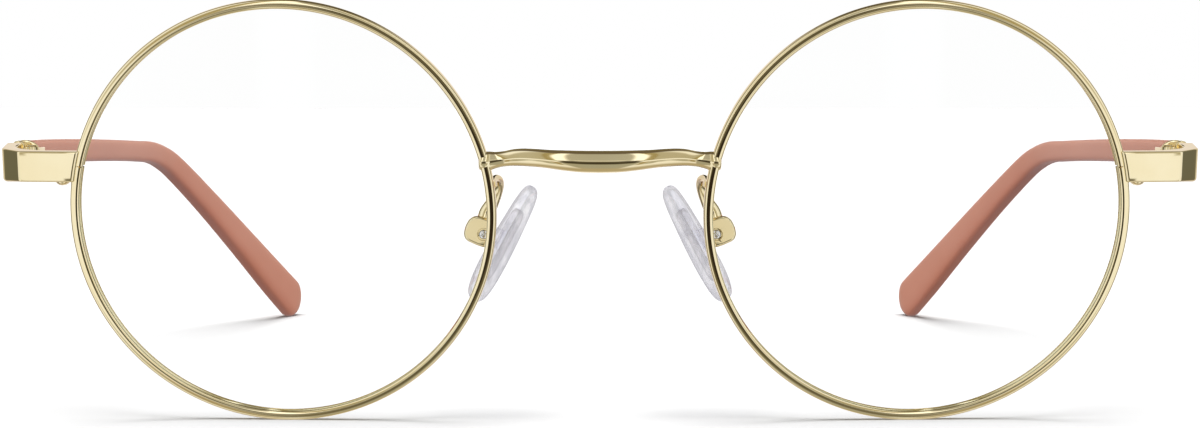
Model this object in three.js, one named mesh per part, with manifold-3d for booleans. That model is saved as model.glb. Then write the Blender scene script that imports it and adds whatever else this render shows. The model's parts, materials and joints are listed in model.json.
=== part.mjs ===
// Round-rimmed metal eyeglasses, open and standing on a flat floor. Millimetres, +Z up.
// +X is the wearer's left, +Y runs from the front back to the temple tips.
// Everything is laid out for the wearer's right (-X) side and mirrored for the left.
import * as THREE from 'three';
import Module from 'manifold-3d';

const wasm = await Module();
wasm.setup();

// ---- dimensions shared by several pieces ---------------------------------
const RING_X = 35.73;        // eyewire centre from the middle
const RING_Z = 23.77;        // eyewire centre above the floor
const RING_RADIUS = 24.15;   // eyewire outer radius
const RIM_RADIAL = 1.09;     // eyewire thickness seen from the front
const RIM_DEPTH = 1.45;      // eyewire thickness front to back
const RIM_STEPS = 60;        // segments round an eyewire
const GROOVE = 0.34;         // depth of the lens groove
const TILT = 8.7;            // pantoscopic tilt, top edge forward, degrees
const WRAP = 2.8;            // face-form angle of each rim, degrees
const SPLIT_HEIGHT = 5.18;   // eyewire split above the ring centre
const FIT = 0.03;            // clearance between brazed or seated neighbours
const BORE_FIT = 0.04;       // radial clearance round a screw
const PLATE_LOW = 3.42;      // end piece, lower edge above the ring centre
const PLATE_HIGH = 6.92;     // end piece, upper edge above the ring centre
const PLATE_FRONT = -1.05;   // end piece front face, ahead of the ring plane
const PLATE_BACK = PLATE_FRONT + 1.1;
const HINGE_X = -65.45;      // hinge pin
const HINGE_Y = 6.3;
const HINGE_LOW = 28.65;
const HINGE_HIGH = 31.05;
const SPLINE_STEPS = 2;      // stretches between two stations of a smoothed line

const RIM_MID = RING_RADIUS - RIM_RADIAL / 2;
const HALF_DEPTH = RIM_DEPTH / 2;
// Direction of the split from the ring centre, on the outer side.
const SPLIT = Math.PI - Math.asin(SPLIT_HEIGHT / RIM_MID);

// ---- frames of reference -------------------------------------------------
const radians = (degrees) => (degrees * Math.PI) / 180;
const cosTilt = Math.cos(radians(TILT));
const sinTilt = Math.sin(radians(TILT));
const cosWrap = Math.cos(radians(WRAP));
const sinWrap = Math.sin(radians(WRAP));
const vec = (x, y, z) => new THREE.Vector3(x, y, z);
const toVec = ([x, y, z]) => vec(x, y, z);

// Front frame: x sideways, y back, z up the tilted front, from the ring centre's height.
const tilted = (x, y, z) => vec(
  x,
  y * cosTilt - z * sinTilt,
  RING_Z + y * sinTilt + z * cosTilt,
);

// Eyewire frame, from the ring centre: across towards the nose, back, up.
const ringPlan = (across, back) => [
  -RING_X + across * cosWrap + back * sinWrap,
  -across * sinWrap + back * cosWrap,
];
const ringed = (across, back, up) => tilted(...ringPlan(across, back), up);

// ---- solid kit -----------------------------------------------------------
// A solid is flat arrays: coords (x, y, z per point) and faces (three indices each).

function facingOut(solid) {
  const { coords, faces } = solid;
  const point = (i) => vec(coords[3 * i], coords[3 * i + 1], coords[3 * i + 2]);
  let volume = 0;
  for (let i = 0; i < faces.length; i += 3) {
    volume += point(faces[i]).dot(point(faces[i + 1]).cross(point(faces[i + 2])));
  }
  if (volume < 0) {
    for (let i = 0; i < faces.length; i += 3) {
      [faces[i + 1], faces[i + 2]] = [faces[i + 2], faces[i + 1]];
    }
  }
  return solid;
}

function mirrored({ coords, faces }) {
  const flipped = coords.map((value, i) => (i % 3 === 0 ? -value : value));
  return facingOut({ coords: flipped, faces: [...faces] });
}

// Triangles of a plane loop, wound in the loop's own direction.
function capOf(loop) {
  const normal = vec(0, 0, 0);
  loop.forEach((point, i) => {
    normal.add(point.clone().cross(loop[(i + 1) % loop.length]));
  });
  normal.normalize();
  const helper = Math.abs(normal.x) < 0.8 ? vec(1, 0, 0) : vec(0, 1, 0);
  const axis1 = helper.cross(normal).normalize();
  const axis2 = normal.clone().cross(axis1);
  const flat = loop.map((point) => new THREE.Vector2(point.dot(axis1), point.dot(axis2)));
  return THREE.ShapeUtils.triangulateShape(flat, []).map(([i, j, k]) => {
    const area = (flat[j].x - flat[i].x) * (flat[k].y - flat[i].y)
      - (flat[k].x - flat[i].x) * (flat[j].y - flat[i].y);
    return area > 0 ? [i, j, k] : [i, k, j];
  });
}

// Skin through loops of equal point count, closed by a cap at each end.
function loft(loops) {
  const count = loops[0].length;
  const coords = loops.flat().flatMap(({ x, y, z }) => [x, y, z]);
  const faces = [];
  for (let i = 0; i + 1 < loops.length; i++) {
    for (let j = 0; j < count; j++) {
      const here = i * count + j;
      const next = i * count + ((j + 1) % count);
      faces.push(here, next, next + count, here, next + count, here + count);
    }
  }
  const last = (loops.length - 1) * count;
  for (const [i, j, k] of capOf(loops[0])) faces.push(i, k, j);
  for (const [i, j, k] of capOf(loops[loops.length - 1])) {
    faces.push(last + i, last + j, last + k);
  }
  return facingOut({ coords, faces });
}

// Turned solid: profile [radius, height] from the axis back to the axis.
// place(x, y, height) puts each point in space.
function turned(profile, sides, place) {
  const coords = [];
  const faces = [];
  const rows = profile.map(([radius, height]) => {
    const first = coords.length / 3;
    const count = radius < 1e-9 ? 1 : sides;
    for (let j = 0; j < count; j++) {
      const angle = (2 * Math.PI * j) / sides;
      coords.push(...place(radius * Math.cos(angle), radius * Math.sin(angle), height));
    }
    return { first, count };
  });
  const corner = (row, j) => row.first + (j % row.count);
  for (let i = 0; i + 1 < rows.length; i++) {
    const [below, above] = [rows[i], rows[i + 1]];
    for (let j = 0; j < sides; j++) {
      const start = corner(below, j);
      const opposite = corner(above, j + 1);
      if (below.count > 1) faces.push(start, corner(below, j + 1), opposite);
      if (above.count > 1) faces.push(start, opposite, corner(above, j));
    }
  }
  return facingOut({ coords, faces });
}

const rod = (radius, [low, high], sides, place) => turned(
  [[0, low], [radius, low], [radius, high], [0, high]],
  sides,
  place,
);

const toManifold = ({ coords, faces }) => new wasm.Manifold(new wasm.Mesh({
  numProp: 3,
  vertProperties: new Float32Array(coords),
  triVerts: new Uint32Array(faces),
}));

function fromManifold(manifold) {
  const mesh = manifold.getMesh();
  return { coords: Array.from(mesh.vertProperties), faces: Array.from(mesh.triVerts) };
}

const cut = (body, ...tools) => fromManifold(
  tools.reduce((rest, tool) => rest.subtract(toManifold(tool)), toManifold(body)),
);
const fuse = (body, ...others) => fromManifold(
  others.reduce((sum, other) => sum.add(toManifold(other)), toManifold(body)),
);

// Plane polygon moved inwards by a distance, corners kept.
function inset(outline, distance) {
  const count = outline.length;
  let area = 0;
  outline.forEach((point, i) => {
    const next = outline[(i + 1) % count];
    area += point[0] * next[1] - next[0] * point[1];
  });
  const turn = area > 0 ? 1 : -1;
  const inward = (from, to) => {
    const length = Math.hypot(to[0] - from[0], to[1] - from[1]);
    return [-(to[1] - from[1]) / length * turn, (to[0] - from[0]) / length * turn];
  };
  return outline.map((point, i) => {
    const before = inward(outline[(i + count - 1) % count], point);
    const after = inward(point, outline[(i + 1) % count]);
    const mitre = 1 + before[0] * after[0] + before[1] * after[1];
    return point.map((value, axis) => value + (distance * (before[axis] + after[axis])) / mitre);
  });
}

// Prism of a plan outline between two heights, with its end edges broken by the chamfer.
function prism(outline, [low, high], place, chamfer = 0) {
  const level = (points, height) => points.map(([x, y]) => place(x, y, height));
  if (chamfer === 0) return loft([level(outline, low), level(outline, high)]);
  const small = inset(outline, chamfer);
  return loft([
    level(small, low),
    level(outline, low + chamfer),
    level(outline, high - chamfer),
    level(small, high),
  ]);
}

const block = ({ x, y, z, place = vec, chamfer = 0 }) => prism(
  [[x[0], y[0]], [x[1], y[0]], [x[1], y[1]], [x[0], y[1]]],
  z,
  place,
  chamfer,
);

// Superellipse section: thickness along side, height along up; power 2 is an ellipse.
function rounded({ mid, side, up, thickness, height }, count, power) {
  const reach = (size, wave) => (size / 2) * Math.sign(wave) * Math.abs(wave) ** (2 / power);
  return Array.from({ length: count }, (_, i) => {
    const angle = (2 * Math.PI * (i + 0.5)) / count;
    return mid.clone()
      .addScaledVector(side, reach(thickness, Math.cos(angle)))
      .addScaledVector(up, reach(height, Math.sin(angle)));
  });
}

// Catmull-Rom interpolation of every column of a station table.
function spline(rows) {
  const smooth = [];
  const last = rows.length - 1;
  for (let i = 0; i < last; i++) {
    const before = rows[Math.max(i - 1, 0)];
    const end = rows[i + 1];
    const after = rows[Math.min(i + 2, last)];
    for (let k = 0; k < SPLINE_STEPS; k++) {
      const f = k / SPLINE_STEPS;
      smooth.push(rows[i].map((start, j) => 0.5 * (2 * start + (end[j] - before[j]) * f
        + (2 * before[j] - 5 * start + 4 * end[j] - after[j]) * f * f
        + (3 * start - before[j] - 3 * end[j] + after[j]) * f * f * f)));
    }
  }
  smooth.push(rows[last]);
  return smooth;
}

// Direction of a line of stations at station i.
function heading(rows, i) {
  const before = toVec(rows[Math.max(i - 1, 0)]);
  const after = toVec(rows[Math.min(i + 1, rows.length - 1)]);
  return after.sub(before).normalize();
}

// ---- eyewire and lens ----------------------------------------------------
const SPLIT_GAP = 0.16;
const GROOVE_MOUTH = RIM_MID - RIM_RADIAL * 0.42;
const GROOVE_HALF_WIDTH = 0.38;
const LENS_RADIUS = 23.12;   // at the foot of the bevel
const LENS_SAG = 2.0;        // forward bulge of the lens
const LENS_EDGE = 1.0;       // lens edge thickness
const LENS_MID_RADIUS = 11;  // ring of points between lens centre and edge

// Back half of the wire section, outer side first: radial offset from the middle
// of the section over RIM_RADIAL, offset back over HALF_DEPTH.
const RIM_CURVE = [[0.5, 0.16], [0.43, 0.52], [0.26, 0.83], [0, 1], [-0.28, 0.86]];
// Clearance added to the first four points of RIM_CURVE: radial, back.
const BLANK_FIT = [[FIT, 0], [FIT, 0.02], [0.04, 0.03], [0, FIT]];

function makeEyewire() {
  const curve = RIM_CURVE.map(([radial, back]) => [
    RIM_MID + radial * RIM_RADIAL,
    back * HALF_DEPTH,
  ]);
  const section = [
    ...curve,
    [GROOVE_MOUTH, GROOVE_HALF_WIDTH],
    [GROOVE_MOUTH + GROOVE, 0],
    [GROOVE_MOUTH, -GROOVE_HALF_WIDTH],
    ...curve.map(([radius, back]) => [radius, -back]).reverse(),
  ];
  const halfGap = SPLIT_GAP / 2 / RING_RADIUS;
  const loops = [];
  for (let i = 0; i <= RIM_STEPS; i++) {
    let turn = 2 * Math.PI * (i / RIM_STEPS);
    if (i === 0) turn += halfGap;
    if (i === RIM_STEPS) turn -= halfGap;
    const cos = Math.cos(SPLIT + turn);
    const sin = Math.sin(SPLIT + turn);
    loops.push(section.map(([radius, back]) => ringed(radius * cos, back, radius * sin)));
  }
  return loft(loops);
}

// Solid turned about the ring axis, its corners in line with the eyewire's.
// Profile: [radius, back].
function turnedOnRing(profile) {
  const cos = Math.cos(SPLIT);
  const sin = Math.sin(SPLIT);
  return turned(
    profile,
    RIM_STEPS,
    (x, y, back) => ringed(x * cos - y * sin, back, x * sin + y * cos),
  );
}

// Disc that fills the eyewire's outer outline, grown by a clearance.
// Given a flat front, its widest radius runs straight forward to there.
function rimBlank(flatFront) {
  const backHalf = BLANK_FIT.map(([radialFit, backFit], i) => [
    RIM_MID + RIM_CURVE[i][0] * RIM_RADIAL + radialFit,
    RIM_CURVE[i][1] * HALF_DEPTH + backFit,
  ]);
  backHalf.push([0, HALF_DEPTH + FIT]);
  const frontHalf = flatFront === undefined
    ? backHalf.map(([radius, back]) => [radius, -back]).reverse()
    : [[0, flatFront], [backHalf[0][0], flatFront]];
  return turnedOnRing([...frontHalf, ...backHalf]);
}

function makeLens() {
  const half = LENS_EDGE / 2;
  const bulge = (radius) => -LENS_SAG * (1 - (radius / LENS_RADIUS) ** 2);
  return turnedOnRing([
    ...[0, LENS_MID_RADIUS].map((radius) => [radius, -half + bulge(radius)]),
    [LENS_RADIUS - 0.02, -half],
    [LENS_RADIUS, -0.32],
    [LENS_RADIUS + GROOVE - 0.07, 0],
    [LENS_RADIUS, 0.32],
    [LENS_RADIUS - 0.02, half],
    ...[LENS_MID_RADIUS, 0].map((radius) => [radius, half + bulge(radius)]),
  ]);
}

// ---- end piece, closing blocks and their screw ---------------------------
// End piece in plan, x and y of the front frame: front and outer faces, then back inside.
const ENDPIECE_PLAN = [
  ringPlan(-22.6, PLATE_FRONT), ringPlan(-26.0, PLATE_FRONT), ringPlan(-29.55, PLATE_FRONT),
  [-65.85, 0.62], [-66.5, 1.0], [-67.05, 1.55], [-67.45, 2.25], [-67.7, 3.1],
  [-67.85, 4.4], [-67.92, 5.8], [-67.94, 9.0],
  [-66.36, 9.0], [-66.36, 4.3], [-66.2, 3.4], [-65.7, 2.6], [-64.9, 2.05], [-63.9, 1.7],
  ringPlan(-27.3, PLATE_BACK), ringPlan(-22.6, PLATE_BACK),
];
const CLOSING_SHANK = 0.34;  // radius
const CLOSING_ACROSS = -25.25;
const CLOSING_BACK = 1.05;
const onClosingScrew = (x, y, up) => ringed(CLOSING_ACROSS + x, CLOSING_BACK + y, up);

function makeEndpiece() {
  const body = prism(ENDPIECE_PLAN, [PLATE_LOW, PLATE_HIGH], tilted, 0.16);
  // Trims the arm off upright, just ahead of the hinge pin.
  const behind = block({ x: [-80, -50], y: [HINGE_Y - 0.12, 30], z: [0, 60] });
  return cut(body, rimBlank(-3), behind);
}

function makeClosingBlock(low, high) {
  const body = block({
    x: [-26.45, -23.6],
    y: [PLATE_BACK + FIT, 2.0],
    z: [low, high],
    place: ringed,
    chamfer: 0.12,
  });
  const hole = rod(CLOSING_SHANK + BORE_FIT, [low - 1, high + 1], 16, onClosingScrew);
  return cut(body, rimBlank(), hole);
}

// Screw head below, shank up through both blocks.
function makeClosingScrew() {
  const profile = [
    [0, 2.7], [0.42, 2.78], [0.7, 3.0], [0.8, 3.26], [0.8, 3.5],
    [CLOSING_SHANK, 3.5], [CLOSING_SHANK, 6.2], [0, 6.2],
  ];
  return turned(profile, 16, onClosingScrew);
}

// ---- hinge ---------------------------------------------------------------
const KNUCKLE_RADIUS = 0.8;
const KNUCKLE_HEIGHT = 0.8;
const KNUCKLE_GAP = 0.05;
const HINGE_SHANK = 0.32;    // radius
const MID_LOW = HINGE_LOW + KNUCKLE_HEIGHT;    // middle knuckle, on the temple
const MID_HIGH = HINGE_HIGH - KNUCKLE_HEIGHT;
const onHinge = (x, y, z) => vec(HINGE_X + x, HINGE_Y + y, z);

const makeKnuckle = (span) => rod(KNUCKLE_RADIUS, span, 16, onHinge);
const hingeBore = () => rod(
  HINGE_SHANK + BORE_FIT,
  [HINGE_LOW - 1, HINGE_HIGH + 1],
  16,
  onHinge,
);

// Leaf on the end piece, with the lower and upper knuckles.
function makeHingeFront() {
  const leaf = block({
    x: [-66.33, -65.8],
    y: [3.9, HINGE_Y - 0.9],
    z: [HINGE_LOW + 0.2, HINGE_HIGH - 0.15],
  });
  const spans = [[HINGE_LOW, MID_LOW - KNUCKLE_GAP], [MID_HIGH + KNUCKLE_GAP, HINGE_HIGH]];
  const knuckles = spans.flatMap((span) => [
    makeKnuckle(span),
    block({ x: [-66.24, -65.5], y: [HINGE_Y - 1.2, HINGE_Y], z: span }),
  ]);
  return cut(fuse(leaf, ...knuckles), hingeBore());
}

// Leaf on the temple, with the middle knuckle.
function makeHingeTemple() {
  const span = [MID_LOW, MID_HIGH];
  const web = block({ x: [HINGE_X, -64.85], y: [HINGE_Y, HINGE_Y + 1.3], z: span });
  const leaf = block({
    x: [-65.47, -64.88],
    y: [HINGE_Y + 0.92, HINGE_Y + 4.2],
    z: [HINGE_LOW + 0.3, HINGE_HIGH - 0.1],
    chamfer: 0.08,
  });
  return cut(fuse(leaf, makeKnuckle(span), web), hingeBore());
}

function makeHingeScrew() {
  const foot = HINGE_LOW - 0.1;
  const seat = HINGE_HIGH + FIT;
  const profile = [
    [0, foot], [HINGE_SHANK, foot], [HINGE_SHANK, seat], [0.6, seat],
    [0.6, HINGE_HIGH + 0.1], [0.42, HINGE_HIGH + 0.2], [0, HINGE_HIGH + 0.22],
  ];
  return turned(profile, 16, onHinge);
}

// ---- temple --------------------------------------------------------------
// Temple centre line: x, y, z, height, thickness.
const TEMPLE = [
  [-66.55, 7.30, 30.24, 3.00, 2.05],
  [-66.60, 20.0, 30.20, 2.94, 2.10],
  [-66.60, 40.0, 29.90, 2.90, 2.15],
  [-66.45, 59.0, 29.45, 2.90, 2.20],
  [-66.20, 72.0, 29.05, 2.96, 2.30],
  [-65.85, 80.0, 28.72, 3.12, 2.38],
  [-65.30, 86.0, 27.85, 3.38, 2.46],
  [-64.30, 92.0, 26.05, 3.72, 2.55],
  [-61.60, 103.0, 20.75, 4.12, 2.65],
  [-58.10, 115.0, 13.95, 4.90, 2.75],
  [-54.80, 126.0, 7.45, 5.85, 2.80],
  [-52.42, 133.5, 3.00, 6.30, 2.80],
];
const TIP_LENGTH = 3.1;      // rounded end past the last station
const TIP_STEPS = [0.35, 0.65, 0.86, 0.97]; // sections of the tip, over its length
const TEMPLE_CORNERS = 14;
const TEMPLE_POWER = 3.2;
const CORE_THICKNESS = 0.9;
const CORE_HEIGHT = 1.5;     // at most, and at most half the temple's height
// Plate across the front end of the core: x, z.
const CORE_CAP = [
  [-67.72, 29.0], [-67.5, 28.74], [-66.5, 28.74], [-66.34, 28.9], [-66.34, 31.3],
  [-66.5, 31.55], [-66.95, 31.72], [-67.5, 31.6], [-67.72, 31.3],
];

// Sections square to the line of stations, the first one square to Y.
function templeSections(rows) {
  return rows.map((row, i) => {
    const direction = i === 0 ? vec(0, 1, 0) : heading(rows, i);
    const side = direction.clone().cross(vec(0, 0, 1)).normalize();
    const up = side.clone().cross(direction).normalize();
    return { mid: toVec(row), direction, side, up, height: row[3], thickness: row[4] };
  });
}

// Wire along the temple line, its front end at y = start and the rest short of y = stop.
function coreWire({ start, stop, grow = 0 }) {
  const sections = templeSections(spline(TEMPLE).filter((row) => row[1] < stop));
  sections[0].mid.y = start;
  return loft(sections.map((section) => rounded({
    ...section,
    thickness: CORE_THICKNESS + grow,
    height: Math.min(CORE_HEIGHT, section.height * 0.5) + grow,
  }, 8, 2.4)));
}

function makeTemple() {
  const sections = templeSections(spline(TEMPLE));
  const loops = sections.map((section) => rounded(section, TEMPLE_CORNERS, TEMPLE_POWER));
  const end = sections[sections.length - 1];
  for (const step of TIP_STEPS) {
    const shrink = Math.sqrt(1 - step * step);
    loops.push(rounded({
      ...end,
      mid: end.mid.clone().addScaledVector(end.direction, TIP_LENGTH * step),
      thickness: end.thickness * (0.25 + 0.75 * shrink),
      height: end.height * shrink,
    }, TEMPLE_CORNERS, TEMPLE_POWER - 0.9 * step));
  }
  return cut(loft(loops), coreWire({ start: 5, stop: 126.5, grow: 0.1 }));
}

function makeTempleCore() {
  const cap = prism(
    CORE_CAP,
    [HINGE_Y + 0.02, HINGE_Y + 0.94],
    (x, z, y) => vec(x, y, z),
  );
  return fuse(coreWire({ start: HINGE_Y + 0.5, stop: 126 }), cap);
}

// ---- bridge --------------------------------------------------------------
// From the right eyewire to the middle: x, y, z, height, depth.
const BRIDGE = [
  [-12.90, -1.95, 29.64, 2.50, 1.45],
  [-12.30, -1.97, 29.69, 2.25, 1.45],
  [-11.85, -2.00, 29.75, 1.78, 1.40],
  [-11.40, -2.04, 29.81, 1.58, 1.35],
  [-10.70, -2.12, 29.93, 1.56, 1.35],
  [-9.60, -2.28, 30.09, 1.72, 1.42],
  [-8.40, -2.48, 30.11, 1.82, 1.50],
  [-6.90, -2.74, 30.03, 1.86, 1.58],
  [-5.60, -2.92, 29.89, 1.96, 1.66],
  [-4.00, -3.06, 29.71, 2.16, 1.74],
  [-2.00, -3.14, 29.56, 2.32, 1.80],
  [0.00, -3.16, 29.53, 2.36, 1.80],
];

function makeBridge() {
  const leftHalf = BRIDGE.slice(0, -1).reverse().map(([x, ...rest]) => [-x, ...rest]);
  const up = vec(0, -sinTilt, cosTilt);
  const side = vec(0, cosTilt, sinTilt);
  const loops = [...BRIDGE, ...leftHalf].map((row) => rounded(
    { mid: toVec(row), side, up, height: row[3], thickness: row[4] },
    14,
    2.3,
  ));
  return cut(loft(loops), rimBlank(), mirrored(rimBlank()));
}

// ---- pad arm, box and screw ----------------------------------------------
const PAD_SCREW = [-13.3, 4.5, 21.1];
const BOX_LEAN = radians(18);
const BOX_TOP = 1.85;
const BOX_HALF = 1.12;       // half depth, front to back
const PAD_SHANK = 0.3;       // screw radius
// Pad box side view in the box frame: across, up.
const BOX_OUTLINE = [
  [-1.5, -1.3], [-0.4, -1.42], [0.7, -1.42], [0.7, BOX_TOP], [-1.15, BOX_TOP],
  [-1.75, 1.6], [-2.15, 1.05], [-2.28, 0.2], [-2.2, -0.6], [-1.9, -1.1],
];
// Arm centre line, eyewire to pad box: x, y, z, width, thickness.
const PAD_ARM = [
  [-12.05, -0.92, 27.15, 0.92, 0.92],
  [-12.00, 0.30, 27.42, 0.90, 0.90],
  [-11.72, 1.50, 27.58, 0.90, 0.90],
  [-11.46, 2.60, 27.34, 0.90, 0.90],
  [-11.44, 3.40, 26.65, 0.95, 0.90],
  [-11.80, 3.95, 25.70, 1.20, 0.90],
  [-12.38, 4.30, 24.60, 1.55, 0.92],
  [-12.90, 4.45, 23.60, 1.85, 0.95],
  [-13.10, 4.50, 23.00, 1.95, 1.00],
];

// Box frame, from the pad screw: across towards the nose, back, up along the box.
const boxed = (across, back, up) => vec(
  PAD_SCREW[0] + across * Math.cos(BOX_LEAN) + up * Math.sin(BOX_LEAN),
  PAD_SCREW[1] + back,
  PAD_SCREW[2] - across * Math.sin(BOX_LEAN) + up * Math.cos(BOX_LEAN),
);
// The same frame for solids whose height runs back.
const throughBox = (across, up, back) => boxed(across, back, up);

function makePadArm() {
  const rows = spline(PAD_ARM);
  const loops = rows.map((row, i) => {
    const direction = heading(rows, i);
    const side = vec(1, 0, 0).addScaledVector(direction, -direction.x).normalize();
    const up = direction.cross(side).normalize();
    return rounded({ mid: toVec(row), side, up, thickness: row[3], height: row[4] }, 10, 2.1);
  });
  const boxSpace = block({
    x: [-2.3, 1.2],
    y: [-1.15, 1.15],
    z: [-1.7, BOX_TOP + FIT],
    place: boxed,
  });
  return cut(loft(loops), rimBlank(), boxSpace);
}

function makePadBox() {
  const body = prism(BOX_OUTLINE, [-BOX_HALF, BOX_HALF], throughBox, 0.22);
  const slot = block({ x: [-1.3, 2], y: [-0.62, 0.62], z: [-1, 1], place: boxed });
  const hole = rod(PAD_SHANK + BORE_FIT, [-3, 3], 14, throughBox);
  const headSeat = rod(0.72, [-3, -BOX_HALF + 0.18], 16, throughBox);
  return cut(body, slot, hole, headSeat);
}

// Head in front, shank running back.
function makePadScrew() {
  const profile = [
    [0, -BOX_HALF - 0.26], [0.3, -BOX_HALF - 0.22], [0.5, -BOX_HALF - 0.06],
    [0.52, -BOX_HALF + 0.15], [PAD_SHANK, -BOX_HALF + 0.15],
    [PAD_SHANK, BOX_HALF + 0.05], [0, BOX_HALF + 0.05],
  ];
  return turned(profile, 14, throughBox);
}

// ---- nose pad and its core -----------------------------------------------
const PAD_MID = [-11.18, 5.6, 20.0];
const PAD_UP = vec(0.475, -0.07, 0.877).normalize();
const PAD_OUT = vec(0.88, 0.27, -0.47);
PAD_OUT.addScaledVector(PAD_UP, -PAD_OUT.dot(PAD_UP)).normalize();
const PAD_BACK = PAD_UP.clone().cross(PAD_OUT);
// Nose pad sections: up from the middle, half width, half thickness.
const NOSE_PAD = [
  [-7.4, 0.6, 0.35], [-7.15, 1.5, 0.7], [-6.4, 2.4, 1.0], [-5.0, 3.15, 1.2],
  [-2.6, 3.5, 1.28], [0.2, 3.4, 1.22], [2.8, 3.0, 1.12], [5.0, 2.45, 1.02],
  [6.4, 1.75, 0.85], [7.1, 1.1, 0.6], [7.4, 0.45, 0.3],
];

// Pad frame, from the pad's middle: out towards the nose, back, up along the pad.
const padded = (out, back, up) => toVec(PAD_MID)
  .addScaledVector(PAD_OUT, out)
  .addScaledVector(PAD_BACK, back)
  .addScaledVector(PAD_UP, up);

// Plate inside the pad and the stem towards the pad box.
function padInsert(grow) {
  const outline = [
    [-4.6 - grow, -1.2], [-3.9, -1.9 - grow], [3.6, -1.7 - grow], [4.3 + grow, -1.0],
    [4.3 + grow, 1.0], [3.6, 1.7 + grow], [-3.9, 1.9 + grow], [-4.6 - grow, 1.2],
  ];
  const plate = prism(
    outline,
    [-0.45 - grow, 0.35 + grow],
    (up, back, out) => padded(out, back, up),
  );
  const stem = block({
    x: [1.02, 2.75],
    y: [-0.85 - grow, 0.85 + grow],
    z: [-1.1 - grow, 1.1 + grow],
    place: boxed,
  });
  return fuse(plate, stem);
}

function makePadCore() {
  const tab = block({ x: [-0.95, 1.2], y: [-0.55, 0.55], z: [-0.72, 0.72], place: boxed });
  const hole = rod(0.35, [-2, 2], 14, throughBox);
  return cut(fuse(padInsert(0), tab), hole);
}

function makeNosePad() {
  const loops = NOSE_PAD.map(([up, halfWidth, halfThickness]) => rounded({
    mid: padded(0, 0, up),
    side: PAD_BACK,
    up: PAD_OUT,
    thickness: 2 * halfWidth,
    height: 2 * halfThickness,
  }, 14, 2.3));
  return cut(loft(loops), padInsert(FIT));
}

// ---- assembly ------------------------------------------------------------
const MATERIAL = {
  gold: { color: 0xd9c58a, metalness: 1, roughness: 0.18 },
  steel: { color: 0xcfd0d2, metalness: 1, roughness: 0.25 },
  acetate: { color: 0xc08272, metalness: 0, roughness: 0.5 },
  clear: { color: 0xe9ecf2, metalness: 0, roughness: 0.1, transparent: true, opacity: 0.35 },
};

const rightSide = [
  ['eyewire', makeEyewire(), 'gold'],
  ['lens', makeLens(), 'clear'],
  ['endpiece', makeEndpiece(), 'gold'],
  ['block_upper', makeClosingBlock(SPLIT_HEIGHT + 0.06, PLATE_HIGH - 0.5), 'gold'],
  ['block_lower', makeClosingBlock(PLATE_LOW + 0.12, SPLIT_HEIGHT - 0.06), 'gold'],
  ['closing_screw', makeClosingScrew(), 'gold'],
  ['hinge_front', makeHingeFront(), 'gold'],
  ['hinge_temple', makeHingeTemple(), 'gold'],
  ['hinge_screw', makeHingeScrew(), 'gold'],
  ['temple', makeTemple(), 'acetate'],
  ['temple_core', makeTempleCore(), 'gold'],
  ['pad_arm', makePadArm(), 'gold'],
  ['pad_box', makePadBox(), 'gold'],
  ['pad_screw', makePadScrew(), 'steel'],
  ['nose_pad', makeNosePad(), 'clear'],
  ['pad_core', makePadCore(), 'clear'],
];
const pieces = [
  ['bridge', makeBridge(), 'gold'],
  ...rightSide.flatMap(([name, solid, material]) => [
    [`${name}_right`, solid, material],
    [`${name}_left`, mirrored(solid), material],
  ]),
];

// The origin is the middle of the bottom of the bounding box.
const bounds = new THREE.Box3();
for (const [, { coords }] of pieces) {
  for (let i = 0; i < coords.length; i += 3) {
    bounds.expandByPoint(vec(coords[i], coords[i + 1], coords[i + 2]));
  }
}
const SHIFT = [0, -(bounds.min.y + bounds.max.y) / 2, -bounds.min.z];

function toMesh(name, { coords, faces }, material) {
  const geometry = new THREE.BufferGeometry();
  const shifted = coords.map((value, i) => value + SHIFT[i % 3]);
  geometry.setAttribute('position', new THREE.Float32BufferAttribute(shifted, 3));
  geometry.setIndex(faces);
  geometry.computeVertexNormals();
  const mesh = new THREE.Mesh(geometry, new THREE.MeshStandardMaterial(MATERIAL[material]));
  mesh.name = name;
  return mesh;
}

const group = new THREE.Group();
group.name = 'eyeglasses';
for (const piece of pieces) group.add(toMesh(...piece));

export default group;
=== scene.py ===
"""Round-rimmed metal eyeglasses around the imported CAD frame.

Shapes are laid out in millimetres in a design frame: x across the face, y from front to back, z up, with the rim
plane at y 0 and the middle of the bridge at x 0. The wearer's right half, at negative x, is drawn and the left is
its mirror. SHIFT moves the design frame onto the part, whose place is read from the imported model.
"""

import json
from math import acos, asin, copysign, cos, pi, radians, sin, sqrt, tan

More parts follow.
